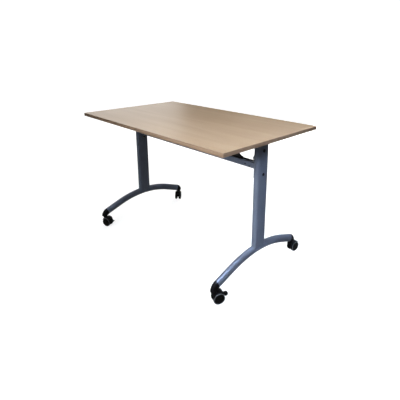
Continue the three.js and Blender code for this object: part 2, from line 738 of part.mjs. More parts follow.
// A castor under one elbow, swivelled so that its wheels trail towards trailAngle
function addCastor(side, end, label, trailAngle) {
  const castor = new THREE.Group();
  castor.position.set(side * legX, legSetback + end * castorReach, 0);
  castor.rotation.z = trailAngle;
  table.add(castor);
  const name = `castor_${label}`;
  const braked = end < 0;
  addPiece(castor, `${name}_hood`, castorHood(braked), blackNylon);
  addPiece(castor, `${name}_stem`, castorStem(), zincSteel);
  if (braked) {
    addPiece(castor, `${name}_brake`, castorBrake(), blackNylon);
  }

  const axleLength = hoodWebThickness + 2 * (wheelWebGap + wheelWidth - 2 * wheelDishDepth - seatGap);
  const axle = new THREE.CylinderGeometry(axleRadius, axleRadius, axleLength, holeSegments);
  addPiece(castor, `${name}_axle`, axle.translate(castorTrail, 0, axleHeight), zincSteel);
  for (const [face, hand] of [[1, 'left'], [-1, 'right']]) {
    const wheel = castorWheel().rotateZ(face > 0 ? 0 : Math.PI).translate(castorTrail, 0, axleHeight);
    addPiece(castor, `${name}_wheel_${hand}`, wheel, blackNylon);
  }
}

// Assembly
const trailAngles = {
  near_front: THREE.MathUtils.degToRad(68),
  near_back: THREE.MathUtils.degToRad(84),
  far_front: THREE.MathUtils.degToRad(22),
  far_back: THREE.MathUtils.degToRad(-50),
};

addBoard();
addBeam();
addLock();
for (const [x, y] of screwPlaces()) {
  addScrew(`bracket_screw_${x > 0 ? 'near' : 'far'}_${y < 0 ? 'front' : 'back'}`, x, y);
}
for (const [side, label] of [[1, 'near'], [-1, 'far']]) {
  addFlipBracket(side, label);
  addEndPlate(side, label);
  addBolt(side, `pivot_bolt_${label}`, pivotZ, bracketInner - 2 * seatGap - bushFlangeThickness);
  addBolt(side, `beam_bolt_${label}`, lowerBoltZ, plateInner - seatGap);
  addColumn(side, label);
  addFoot(side, label);
  for (const [end, place] of [[-1, 'front'], [1, 'back']]) {
    addElbow(side, end, `foot_elbow_${label}_${place}`);
    addCastor(side, end, `${label}_${place}`, trailAngles[`${label}_${place}`]);
  }
}

export default table;
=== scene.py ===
import json
import math

import bmesh
import bpy
from mathutils import Matrix, Vector


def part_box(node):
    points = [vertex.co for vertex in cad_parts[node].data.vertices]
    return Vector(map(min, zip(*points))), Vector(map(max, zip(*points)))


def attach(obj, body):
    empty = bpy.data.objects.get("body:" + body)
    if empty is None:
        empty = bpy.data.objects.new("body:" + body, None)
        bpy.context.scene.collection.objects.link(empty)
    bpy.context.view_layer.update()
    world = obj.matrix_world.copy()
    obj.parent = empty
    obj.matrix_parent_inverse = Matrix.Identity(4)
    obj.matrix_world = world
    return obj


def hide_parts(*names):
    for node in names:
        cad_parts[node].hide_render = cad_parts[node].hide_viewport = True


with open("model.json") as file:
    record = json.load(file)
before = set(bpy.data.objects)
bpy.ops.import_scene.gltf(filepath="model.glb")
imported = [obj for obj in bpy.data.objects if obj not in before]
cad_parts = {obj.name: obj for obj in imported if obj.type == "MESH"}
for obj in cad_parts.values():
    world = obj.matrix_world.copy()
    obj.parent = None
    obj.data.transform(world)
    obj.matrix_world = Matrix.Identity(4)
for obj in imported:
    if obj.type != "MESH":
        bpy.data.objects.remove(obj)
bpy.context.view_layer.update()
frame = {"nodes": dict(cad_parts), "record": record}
nodes = frame["nodes"]

MM = 0.001
TURN = 2 * math.pi

# Sizes of the table, in millimetres, as in the part's source
TABLE_HEIGHT = 750
BOARD = Vector((1200, 700, 18))
EDGE_BAND = 2
EDGE_CORNER = 3
EDGE_ROUND = 1.2
LEG_X = 513
LEG_Y = 4
COLUMN_DEPTH = 85
COLUMN_WIDTH = 30
TUBE_WALL = 2
FOOT_RADIUS = 594
FOOT_BEND = math.radians(19.5)
FOOT_END_Y = 293
FOOT_HEIGHT = 44
FOOT_WIDTH = 30
ELBOW_RADIUS = 29
ELBOW_DROP = 22
ELBOW_TURN_END = math.radians(88)
WHEEL_RADIUS = 29
WHEEL_SIDES = 20
WHEEL_WIDTH = 13.3
WHEEL_GAP = 1.4
WHEEL_WEB_GAP = 0.7
TRAIL = 19
HOOD_THICKNESS = 3.2
HOOD_SHOULDER = 3.0
HOOD_WEB = 12
HOOD_REAR = math.radians(45)
HOOD_FRONT = math.radians(152)
AXLE_BOSS = 11
SWIVEL_BOSS = 13
SWIVEL_NECK = 7.4
SWIVEL_GAP = 0.6
BRAKE_PIVOT = (23, math.radians(8))
BRAKE_SEAT = (26, math.radians(-14))
BRAKE_LUG = 5
BRAKE_PAD = (8.4, 26.5)
BRAKE_PAD_WIDTH = 28
BRAKE_PAD_THICKNESS = 5
BRAKE_PAD_CORNER = 11
BRAKE_PAD_ANGLE = math.radians(15)
BOLT_HEAD_RADIUS = 8
BOLT_HEAD_HEIGHT = 5
SCREW_RADIUS = 2.4
SCREW_HEAD_RADIUS = 5
SCREW_HEAD_HEIGHT = 3
BEAM = (40, 30)
BEAM_CORNER = 4

AXLE_HEIGHT = WHEEL_RADIUS * math.cos(math.pi / WHEEL_SIDES)
HOOD_INSIDE = WHEEL_RADIUS + WHEEL_GAP
HOOD_RADIUS = HOOD_INSIDE + HOOD_THICKNESS
CASTOR_HEIGHT = AXLE_HEIGHT + HOOD_RADIUS + SWIVEL_NECK
FOOT_END_Z = CASTOR_HEIGHT + ELBOW_DROP
BEND_Y = FOOT_RADIUS * math.sin(FOOT_BEND)
FOOT_TOP_Z = FOOT_END_Z + (FOOT_END_Y - BEND_Y) * math.tan(FOOT_BEND) + FOOT_RADIUS * (1 - math.cos(FOOT_BEND))
CASTOR_TURN = math.acos(math.cos(FOOT_BEND) - ELBOW_DROP / ELBOW_RADIUS)
CASTOR_REACH = FOOT_END_Y + ELBOW_RADIUS * (math.sin(CASTOR_TURN) - math.sin(FOOT_BEND))

LEGS = {"near": 1, "far": -1}
ENDS = {"front": -1, "back": 1}
TRAIL_ANGLES = {"near_front": 68, "near_back": 84, "far_front": 22, "far_back": -50}


# Finishes

def linear(hex_colour):
    """Turns an sRGB hex colour into the linear one that a shader takes."""
    channels = [int(hex_colour[i:i + 2], 16) / 255 for i in (0, 2, 4)]
    return [c / 12.92 if c <= 0.04045 else ((c + 0.055) / 1.055) ** 2.4 for c in channels] + [1.0]


def add(tree, kind, sockets=None, **settings):
    """Adds a node with its settings. A socket takes a plain value, or a node and the name of its output."""
    new = tree.nodes.new(kind)
    for name, value in settings.items():
        setattr(new, name, value)
    for name, value in (sockets or {}).items():
        if isinstance(value, tuple) and isinstance(value[0], bpy.types.Node):
            tree.links.new(value[0].outputs[value[1]], new.inputs[name])
        else:
            new.inputs[name].default_value = value
    return new


def stops(ramp, *pairs):
    """Sets the stops of a colour ramp: places and sRGB colours."""
    elements = ramp.color_ramp.elements
    while len(elements) < len(pairs):
        elements.new(0.5)
    for element, (place, colour) in zip(elements, pairs):
        element.position = place
        element.color = linear(colour)
    return ramp


def start_material(name, sockets):
    """A new material with its shader's plain values set, and the place on the piece in metres."""
    material = bpy.data.materials.new(name)
    material.use_nodes = True
    tree = material.node_tree
    shader = tree.nodes["Principled BSDF"]
    for socket, value in sockets.items():
        shader.inputs[socket].default_value = value
    place = add(tree, "ShaderNodeTexCoord")
    return material, tree, shader, (place, "Object")


def beech_melamine(name, light, mid, dark, roughness, crosswise=False):
    """Melamine-faced beech board: printed grain with long soft bands and short dark flecks under a satin face."""
    material, tree, shader, place = start_material(name, {"IOR": 1.5, "Specular IOR Level": 0.3})

    def grain_scale(along, across):
        return (across, along, across) if crosswise else (along, across, across)

    # Bands some 70 mm wide and close to a metre long
    bands_place = add(tree, "ShaderNodeMapping", {"Vector": place, "Scale": grain_scale(1.3, 14)})
    bands = add(tree, "ShaderNodeTexNoise", {"Vector": (bands_place, "Vector"), "Scale": 1.0, "Detail": 3.0,
                                             "Roughness": 0.5, "Distortion": 0.35})
    # Fibres 3 mm wide and 150 mm long
    fibre_place = add(tree, "ShaderNodeMapping", {"Vector": place, "Scale": grain_scale(6.5, 330)})
    fibres = add(tree, "ShaderNodeTexNoise", {"Vector": (fibre_place, "Vector"), "Scale": 1.0, "Detail": 4.0,
                                              "Roughness": 0.6})
    # Flecks 1.5 mm wide and 16 mm long, a little coarser than real beech so that they show
    fleck_place = add(tree, "ShaderNodeMapping", {"Vector": place, "Scale": grain_scale(60, 660)})
    flecks = add(tree, "ShaderNodeTexNoise", {"Vector": (fleck_place, "Vector"), "Scale": 1.0, "Detail": 1.0})
    sparse = add(tree, "ShaderNodeMapRange", {"Value": (flecks, "Fac"), "From Min": 0.60, "From Max": 0.74,
                                              "To Min": 0.0, "To Max": 0.45})
    grain = add(tree, "ShaderNodeMath", {0: (bands, "Fac"), 1: (fibres, "Fac")}, operation="ADD")
    half = add(tree, "ShaderNodeMath", {0: (grain, "Value"), 1: 0.5}, operation="MULTIPLY")
    ramp = add(tree, "ShaderNodeValToRGB", {"Fac": (half, "Value")})
    stops(ramp, (0.32, dark), (0.5, mid), (0.68, light))
    flecked = add(tree, "ShaderNodeMix", {"Factor": (sparse, "Result"), "A": (ramp, "Color"), "B": linear("8d6b48")},
                  data_type="RGBA")
    tree.links.new(flecked.outputs["Result"], shader.inputs["Base Color"])
    gloss = add(tree, "ShaderNodeMapRange", {"Value": (fibres, "Fac"), "To Min": roughness - 0.06,
                                             "To Max": roughness + 0.08})
    tree.links.new(gloss.outputs["Result"], shader.inputs["Roughness"])
    # The face is pressed with a fine pore texture, 0.05 mm deep
    bump = add(tree, "ShaderNodeBump", {"Height": (half, "Value"), "Strength": 0.25, "Distance": 0.00005})
    tree.links.new(bump.outputs["Normal"], shader.inputs["Normal"])
    return material


def powder_coat(name, colour, shade, metallic, roughness):
    """Powder-coated steel: satin paint with an orange-peel skin and a faint cloudiness."""
    material, tree, shader, place = start_material(name, {"Metallic": metallic, "Specular IOR Level": 0.45})
    # Orange peel with dimples about 1.5 mm across
    peel = add(tree, "ShaderNodeTexNoise", {"Vector": place, "Scale": 650.0, "Detail": 2.0, "Roughness": 0.5})
    # Cloudiness about 90 mm across
    cloud = add(tree, "ShaderNodeTexNoise", {"Vector": place, "Scale": 11.0, "Detail": 3.0, "Roughness": 0.55})
    # Metal flake, 0.4 mm, drawn coarser than real so that it shows
    flake = add(tree, "ShaderNodeTexVoronoi", {"Vector": place, "Scale": 1600.0}, feature="F1")
    tint = add(tree, "ShaderNodeMath", {0: (cloud, "Fac"), 1: (flake, "Distance")}, operation="MULTIPLY")
    ramp = add(tree, "ShaderNodeValToRGB", {"Fac": (tint, "Value")})
    stops(ramp, (0.1, shade), (0.45, colour))
    tree.links.new(ramp.outputs["Color"], shader.inputs["Base Color"])
    gloss = add(tree, "ShaderNodeMapRange", {"Value": (cloud, "Fac"), "From Min": 0.3, "From Max": 0.7,
                                             "To Min": roughness - 0.05, "To Max": roughness + 0.06})
    tree.links.new(gloss.outputs["Result"], shader.inputs["Roughness"])
    bump = add(tree, "ShaderNodeBump", {"Height": (peel, "Fac"), "Strength": 0.25, "Distance": 0.00012})
    tree.links.new(bump.outputs["Normal"], shader.inputs["Normal"])
    return material


def moulded_nylon(name, colour, dust, roughness, grit=0.0006):
    """Moulded nylon: spark-eroded grain on the skin and paler scuffs where it is rubbed."""
    material, tree, shader, place = start_material(name, {"IOR": 1.53, "Specular IOR Level": 0.18})
    skin = add(tree, "ShaderNodeTexNoise", {"Vector": place, "Scale": 1 / grit, "Detail": 2.0})
    # Scuffs some 12 mm across, broken up by the grain
    scuffs = add(tree, "ShaderNodeTexNoise", {"Vector": place, "Scale": 85.0, "Detail": 5.0, "Roughness": 0.65})
    worn = add(tree, "ShaderNodeMapRange", {"Value": (scuffs, "Fac"), "From Min": 0.55, "From Max": 0.8,
                                            "To Min": 0.0, "To Max": 0.55})
    mixed = add(tree, "ShaderNodeMix", {"Factor": (worn, "Result"), "A": linear(colour), "B": linear(dust)},
                data_type="RGBA")
    tree.links.new(mixed.outputs["Result"], shader.inputs["Base Color"])
    gloss = add(tree, "ShaderNodeMapRange", {"Value": (scuffs, "Fac"), "From Min": 0.3, "From Max": 0.75,
                                             "To Min": roughness - 0.08, "To Max": roughness + 0.12})
    tree.links.new(gloss.outputs["Result"], shader.inputs["Roughness"])
    bump = add(tree, "ShaderNodeBump", {"Height": (skin, "Fac"), "Strength": 0.3, "Distance": 0.00008})
    tree.links.new(bump.outputs["Normal"], shader.inputs["Normal"])
    return material


def plated_steel(name, colour, stain, metallic, roughness):
    """Turned and plated steel: a cloudy plating over fine tool marks."""
    material, tree, shader, place = start_material(name, {"Metallic": metallic, "Specular IOR Level": 0.2})
    cloud = add(tree, "ShaderNodeTexNoise", {"Vector": place, "Scale": 140.0, "Detail": 4.0, "Roughness": 0.6})
    ramp = add(tree, "ShaderNodeValToRGB", {"Fac": (cloud, "Fac")})
    stops(ramp, (0.3, stain), (0.65, colour))
    tree.links.new(ramp.outputs["Color"], shader.inputs["Base Color"])
    gloss = add(tree, "ShaderNodeMapRange", {"Value": (cloud, "Fac"), "From Min": 0.3, "From Max": 0.7,
                                             "To Min": roughness + 0.1, "To Max": roughness - 0.05})
    tree.links.new(gloss.outputs["Result"], shader.inputs["Roughness"])
    # Tool marks 0.4 mm apart, running round the piece
    marks = add(tree, "ShaderNodeTexNoise", {"Vector": place, "Scale": 2500.0, "Detail": 1.0})
    bump = add(tree, "ShaderNodeBump", {"Height": (marks, "Fac"), "Strength": 0.2, "Distance": 0.00004})
    tree.links.new(bump.outputs["Normal"], shader.inputs["Normal"])
    return material


FINISHES = {
    "beech_board": beech_melamine("melamine beech board", "aa957d", "a0896f", "957d63", 0.34),
    # The edge band has darker colours than the top, a painted shade standing in for the shade on the board's sides
    "beech_edge": beech_melamine("beech edge band, painted shade", "86705b", "776250", "655241", 0.42),
    "grey_paint": powder_coat("powder-coated steel", "69707f", "5b616e", 0.45, 0.42),
    "zinc_steel": plated_steel("zinc-plated steel", "a9abad", "85878a", 1.0, 0.3),
    "black_steel": plated_steel("black-oxide steel", "0e0f11", "08090a", 0.0, 0.42),
    "black_nylon": moulded_nylon("moulded nylon", "060607", "101012", 0.36),
    "castor_tread": moulded_nylon("moulded nylon wheel", "040404", "0d0d0d", 0.36, 0.0008),
    "black_rubber": moulded_nylon("moulded rubber", "090909", "151515", 0.75, 0.001),
    "white_nylon": moulded_nylon("turned white nylon", "d8d6cf", "b9b6ad", 0.5),
}
# The band on the short sides is cut from the same roll, so its grain runs across the board. It has the edge band's
# darker colours, a painted shade for the board's sides
CROSS_EDGE = beech_melamine("beech edge band, painted shade, short sides", "86705b", "776250", "655241", 0.42, crosswise=True)
# The wheels' outer rim is painted grey as a highlight, standing in for light caught on the rim's edge
RIM_PAINTED_HIGHLIGHT = moulded_nylon("nylon rim painted grey as a highlight", "4c4e50", "6a6c6d", 0.4)


# Making pieces

class Shell:
    """Corners and faces of one piece, in millimetres."""

    def __init__(self):
        self.corners = []
        self.faces = []

    def loft(self, rings, ends=True, endless=False):
        """Joins rings of equally many corners, and closes both ends or runs back to the first ring."""
        first = len(self.corners)
        first_face = len(self.faces)
        count = len(rings[0])
        for ring in rings:
            self.corners.extend(Vector(corner) for corner in ring)
        spans = len(rings) if endless else len(rings) - 1
        for span in range(spans):
            a = first + span * count
            b = first + (span + 1) % len(rings) * count
            for i in range(count):
                j = (i + 1) % count
                self.faces.append((a + i, a + j, b + j, b + i))
        if ends and not endless:
            self.faces.append(tuple(first + i for i in reversed(range(count))))
            last = first + (len(rings) - 1) * count
            self.faces.append(tuple(last + i for i in range(count)))
        if ends or endless:
            self.face_outwards(first_face)
        return self

    def face_outwards(self, first_face):
        """Turns a closed loft's faces round if they enclose a negative volume."""
        volume = 0
        for face in self.faces[first_face:]:
            a, *others = (self.corners[i] for i in face)
            volume += sum(a.dot(b.cross(c)) for b, c in zip(others, others[1:]))
        if volume < 0:
            self.faces[first_face:] = [face[::-1] for face in self.faces[first_face:]]

    def moved(self, matrix):
        self.corners = [matrix @ corner for corner in self.corners]
        return self


def piece(name, shell, slot, body, replaced=(), sharp=32, bevel=0.0):
    """Makes the object of a shell: it rides on a body, takes a slot's finish and stands for CAD nodes."""
    mesh = bpy.data.meshes.new(name)
    mesh.from_pydata([corner * MM for corner in shell.corners], [], shell.faces)
    made = bpy.data.objects.new(name, mesh)
    return dress(made, slot, body, replaced, sharp, bevel)


def dress(made, slot, body, replaced, sharp, bevel):
    bpy.context.scene.collection.objects.link(made)
    mesh = made.data
    work = bmesh.new()
    work.from_mesh(mesh)
    bmesh.ops.remove_doubles(work, verts=work.verts, dist=0.00001)
    work.to_mesh(mesh)
    work.free()
    mesh.shade_smooth()
    mesh.set_sharp_from_angle(angle=math.radians(sharp))
    mesh.materials.clear()
    mesh.materials.append(FINISHES[slot])
    if bevel:
        rounding = made.modifiers.new("rounded edges", "BEVEL")
        rounding.width = bevel * MM
        rounding.segments = 2
        rounding.limit_method = "ANGLE"
        rounding.angle_limit = math.radians(sharp)
        rounding.harden_normals = True
    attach(made, body)
    if replaced:
        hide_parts(*replaced)
    return made


def softened(node, slot, body, bevel, sharp=32):
    """A copy of a CAD node with its flat faces joined and its edges rounded, which stands for that node."""
    mesh = nodes[node].data.copy()
    mesh.name = "soft_" + node
    work = bmesh.new()
    work.from_mesh(mesh)
    bmesh.ops.remove_doubles(work, verts=work.verts, dist=0.00001)
    bmesh.ops.dissolve_limit(work, angle_limit=math.radians(1), verts=work.verts, edges=work.edges)
    work.to_mesh(mesh)
    work.free()
    made = bpy.data.objects.new("soft_" + node, mesh)
    return dress(made, slot, body, (node,), sharp, bevel)


def ring_round(radius, height, count, phase=0.0):
    """A circle about Z."""
    return [(radius * math.cos(TURN * i / count + phase), radius * math.sin(TURN * i / count + phase), height)
            for i in range(count)]


def turned(profile, count, phase=0.0):
    """Rings of a profile of radii and heights turned about Z. A radius of 0 is drawn as a tiny one."""
    return [ring_round(max(radius, 0.01), height, count, phase) for radius, height in profile]


# Board

def make_board():
    top = TABLE_HEIGHT
    bottom = top - BOARD.z
    x = BOARD.x / 2 - EDGE_BAND
    y = BOARD.y / 2 - EDGE_BAND
    core = Shell().loft([[(-x, -y, z), (x, -y, z), (x, y, z), (-x, y, z)] for z in (bottom, top)])
    piece("beech_top", core, "beech_board", "top", ["top_board"])

    # The band is a section with rounded outer corners, carried round the board
    path = []
    for quarter in range(4):
        middle = TURN * quarter / 4 + TURN / 8
        cx = math.copysign(BOARD.x / 2 - EDGE_CORNER, math.cos(middle))
        cy = math.copysign(BOARD.y / 2 - EDGE_CORNER, math.sin(middle))
        for step in range(7):
            angle = TURN * quarter / 4 + TURN / 4 * step / 6
            path.append((cx, cy, math.cos(angle), math.sin(angle)))
    section = [(-EDGE_BAND, bottom)]
    for step in range(7):
        angle = -TURN / 4 + TURN / 4 * step / 6
        section.append((EDGE_ROUND * (math.cos(angle) - 1), bottom + EDGE_ROUND * (1 + math.sin(angle))))
    for step in range(7):
        angle = TURN / 4 * step / 6
        section.append((EDGE_ROUND * (math.cos(angle) - 1), top + EDGE_ROUND * (math.sin(angle) - 1)))
    section.append((-EDGE_BAND, top))
    rings = []
    for cx, cy, nx, ny in path:
        rings.append([(cx + nx * (EDGE_CORNER + out), cy + ny * (EDGE_CORNER + out), z) for out, z in section])
    band = piece("beech_edging", Shell().loft(rings, endless=True), "beech_edge", "top", ["top_edge_band"])
    band.data.materials.append(CROSS_EDGE)
    for face in band.data.polygons:
        if abs(face.center.x) > abs(face.center.y) + (BOARD.x - BOARD.y) / 2 * MM:
            face.material_index = 1


# Legs

def flat_oval(width, depth, count):
    """Corners of a flat oval with round ends, long way along Y."""
    radius = width / 2
    straight = depth / 2 - radius
    corners = []
    for end in (1, -1):
        for step in range(count // 2 + 1):
            angle = (0 if end > 0 else math.pi) + math.pi * step / (count // 2)
            corners.append((radius * math.cos(angle), end * straight + radius * math.sin(angle)))
    return corners


def foot_top(x, y):
    """Height of the foot's skin where a column stands on it."""
    across = max(0.0, 1 - (x / (FOOT_WIDTH / 2)) ** 2)
    reach = FOOT_RADIUS + FOOT_HEIGHT / 2 * math.sqrt(across)
    return FOOT_TOP_Z - FOOT_RADIUS + math.sqrt(reach ** 2 - y ** 2)


def make_column(label, side):
    low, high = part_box("column_" + label)
    top = high.z / MM
    outline = flat_oval(COLUMN_WIDTH, COLUMN_DEPTH, 48)
    inside = flat_oval(COLUMN_WIDTH - 2 * TUBE_WALL, COLUMN_DEPTH - 2 * TUBE_WALL, 48)
    place = Matrix.Translation((side * LEG_X, LEG_Y, 0))
    coped, coped_inside = ([(x, y, foot_top(x, y) - 1) for x, y in wall] for wall in (outline, inside))
    rim, rim_inside = ([(x, y, top) for x, y in wall] for wall in (outline, inside))
    tube = Shell().loft([coped, rim, rim_inside, coped_inside], endless=True).moved(place)
    piece("tube_column_" + label, tube, "grey_paint", "frame", ["column_" + label], sharp=50)

    # Weld bead round the coped foot of the column
    bead = 2.2
    rings = []
    seam = [Vector((x, y, foot_top(x, y))) for x, y in outline]
    for i, point in enumerate(seam):
        along = (seam[(i + 1) % len(seam)] - seam[i - 1]).normalized()
        out = along.cross(Vector((0, 0, 1))).normalized()
        up = out.cross(along)
        rings.append([point + bead * (math.cos(TURN * k / 8) * out * 0.7 + math.sin(TURN * k / 8) * up)
                      for k in range(8)])
    weld = Shell().loft(rings, endless=True).moved(place)
    piece("weld_" + label, weld, "grey_paint", "frame", sharp=80)


def oval_ring(centre, up, width, height, count):
    """Oval section in the plane of X and a given direction of the leg's side view."""
    return [centre + Vector((width / 2 * math.cos(TURN * i / count), 0, 0)) + up * (height / 2 * math.sin(TURN * i / count))
            for i in range(count)]


def foot_section(y):
    """Middle of a foot's section at a place along it, and the section's upward direction."""
    turn = math.copysign(min(math.asin(min(1.0, abs(y) / FOOT_RADIUS)), FOOT_BEND), y)
    beyond = max(0.0, abs(y) - BEND_Y)
    z = FOOT_TOP_Z - FOOT_RADIUS * (1 - math.cos(turn)) - beyond * math.tan(FOOT_BEND)
    return Vector((0, y, z)), Vector((0, math.sin(turn), math.cos(turn)))


def make_foot(label, side):
    place = Matrix.Translation((side * LEG_X, LEG_Y, 0))
    rings = []
    for step in range(97):
        centre, up = foot_section(FOOT_END_Y * (step / 48 - 1))
        rings.append(oval_ring(centre, up, FOOT_WIDTH, FOOT_HEIGHT, 48))
    piece("tube_foot_" + label, Shell().loft(rings).moved(place), "grey_paint", "frame", ["foot_" + label], sharp=50)


def make_elbow(label, side, end_label, end):
    """Moulded elbow: the oval carried on downwards, cut level above the castor, with a lip at the tube."""
    place = Matrix.Translation((side * LEG_X, LEG_Y, 0))
    rings = []
    steps = 28
    for step in range(steps + 1):
        turn = FOOT_BEND + (ELBOW_TURN_END - FOOT_BEND) * step / steps
        up = Vector((0, end * math.sin(turn), math.cos(turn)))
        centre = Vector((0,
                         end * (FOOT_END_Y + ELBOW_RADIUS * (math.sin(turn) - math.sin(FOOT_BEND))),
                         FOOT_END_Z - ELBOW_RADIUS * (math.cos(FOOT_BEND) - math.cos(turn))))
        if step == 0:
            back = Vector((0, -end * math.cos(turn), math.sin(turn)))
            for along, less in ((6, 6), (-0.3, 2), (-0.9, 0.6)):
                rings.append(oval_ring(centre + back * along, up, FOOT_WIDTH - less, FOOT_HEIGHT - less, 48))
        else:
            rings.append(oval_ring(centre, up, FOOT_WIDTH, FOOT_HEIGHT, 48))
    name = f"elbow_{label}_{end_label}"
    shell = Shell().loft(rings).moved(place)
    made = piece(name, shell, "black_nylon", "frame", [f"foot_elbow_{label}_{end_label}"], sharp=60)
    work = bmesh.new()
    work.from_mesh(made.data)
    parts = work.verts[:] + work.edges[:] + work.faces[:]
    cut = bmesh.ops.bisect_plane(work, geom=parts, plane_co=(0, 0, CASTOR_HEIGHT * MM), plane_no=(0, 0, -1),
                                 clear_outer=True)
    rim = [part for part in cut["geom_cut"] if isinstance(part, bmesh.types.BMEdge)]
    bmesh.ops.holes_fill(work, edges=rim)
    bmesh.ops.remove_doubles(work, verts=work.verts, dist=0.25 * MM)
    bmesh.ops.recalc_face_normals(work, faces=work.faces)
    work.to_mesh(made.data)
    work.free()
    made.data.shade_smooth()
    made.data.set_sharp_from_angle(angle=math.radians(60))


# Castors

def polar(radius, angle, across=0.0):
    """A point about a castor's axle, in the castor's own frame."""
    return Vector((TRAIL + radius * math.cos(angle), across, AXLE_HEIGHT + radius * math.sin(angle)))


def arc(radius, start, end, steps, centre=None):
    """Points of an arc in the castor's side view, about the axle or another centre."""
    middle = centre or polar(0, 0)
    angles = [start + (end - start) * i / steps for i in range(steps + 1)]
    return [middle + radius * Vector((math.cos(angle), 0, math.sin(angle))) for angle in angles]


def hood_web(braked):
    """Outline of the web between the wheels, with an open seat for the lug of the brake."""
    outline = arc(HOOD_INSIDE + HOOD_THICKNESS / 2, HOOD_REAR, HOOD_FRONT, 24)
    if not braked:
        return outline + arc(AXLE_BOSS, HOOD_FRONT, TURN + HOOD_REAR, 24)
    seat_radius, seat_angle = BRAKE_SEAT
    pivot_radius, pivot_angle = BRAKE_PIVOT
    hole = BRAKE_LUG + 0.4
    pivot = polar(pivot_radius, pivot_angle)
    spread = math.acos((seat_radius ** 2 + pivot_radius ** 2 - hole ** 2) / (2 * seat_radius * pivot_radius))
    first = polar(seat_radius, pivot_angle - spread) - pivot
    last = polar(seat_radius, pivot_angle + spread) - pivot
    outline += arc(AXLE_BOSS, HOOD_FRONT, TURN + seat_angle, 24)
    outline += arc(seat_radius, seat_angle, pivot_angle - spread, 6)
    outline += arc(hole, math.atan2(first.z, first.x), math.atan2(last.z, last.x) - TURN, 16, pivot)
    return outline + arc(seat_radius, pivot_angle + spread, HOOD_REAR, 10)


def make_hood(label, place, braked):
    """Hood of a castor: a crown with round shoulders, the web and the swivel boss with its collar."""
    hood = Shell()
    half = HOOD_WEB / 2 + WHEEL_WEB_GAP + WHEEL_WIDTH
    side = [(-half, HOOD_INSIDE + 0.1)]
    for step in range(9):
        angle = TURN / 2 - TURN / 4 * step / 8
        side.append((-half + HOOD_SHOULDER * (1 + math.cos(angle)),
                     HOOD_RADIUS - 0.5 - HOOD_SHOULDER * (1 - math.sin(angle))))
    side += [(-half * 0.5, HOOD_RADIUS - 0.12), (0, HOOD_RADIUS)]
    section = side + [(-v, r) for v, r in reversed(side[:-1])]
    section += [(half - 1.2, HOOD_INSIDE), (-half + 1.2, HOOD_INSIDE)]
    rings = []
    for step in range(41):
        angle = HOOD_REAR + (HOOD_FRONT - HOOD_REAR) * step / 40
        rings.append([polar(r, angle, v) for v, r in section])
    hood.loft(rings)
    outline = hood_web(braked)
    hood.loft([[corner + Vector((0, v, 0)) for corner in outline] for v in (-HOOD_WEB / 2, HOOD_WEB / 2)])
    top = CASTOR_HEIGHT - SWIVEL_GAP
    low = AXLE_HEIGHT + HOOD_INSIDE - 2
    boss = [(0, low), (SWIVEL_BOSS, low), (SWIVEL_BOSS, top - 4.4), (SWIVEL_BOSS - 1.2, top - 3.8),
            (SWIVEL_BOSS - 1.2, top - 2.6), (SWIVEL_BOSS - 0.3, top - 2), (SWIVEL_BOSS - 0.3, top - 0.7),
            (SWIVEL_BOSS - 1, top), (0, top)]
    hood.loft(turned(boss, 40))
    piece("hood_" + label, hood.moved(place), "black_nylon", "castor_" + label, [f"castor_{label}_hood"],
          sharp=40, bevel=0.5)


def make_wheel(label, hand, face, place):
    """Wheel: a crowned tread, a raised rim and a dished disc with a hub cap."""
    near = HOOD_WEB / 2 + WHEEL_WEB_GAP
    far = near + WHEEL_WIDTH
    r = AXLE_HEIGHT
    profile = [(0, near), (r - 2.2, near), (r - 0.9, near + 0.5), (r - 0.3, near + 1.4), (r, near + 4),
               (r, far - 4), (r - 0.3, far - 1.6), (r - 0.9, far - 0.6), (r - 2.0, far), (r - 3.4, far),
               (r - 4.2, far - 0.5), (r - 4.8, far - 2.0), (r - 5.8, far - 2.5), (14, far - 1.4),
               (10.4, far - 1.2), (10.0, far - 1.8), (9.4, far - 1.8), (9.0, far - 1.0), (0, far - 0.6)]
    spin = Matrix.Translation(polar(0, 0)) @ Matrix.Rotation(math.radians(-90 * face), 4, "X")
    node = f"castor_{label}_wheel_{hand}"
    wheel = Shell().loft(turned(profile, 64)).moved(place @ spin)
    made = piece(f"wheel_{label}_{hand}", wheel, "castor_tread", node, [node], sharp=40)
    made.data.materials.append(RIM_PAINTED_HIGHLIGHT)
    # Faces on the wheel's outer rim take the grey painted highlight
    to_wheel = (place @ spin).inverted()
    for face in made.data.polygons:
        middle = to_wheel @ (face.center / MM)
        if middle.z > far - 1.2 and middle.xy.length > r - 4:
            face.material_index = 1


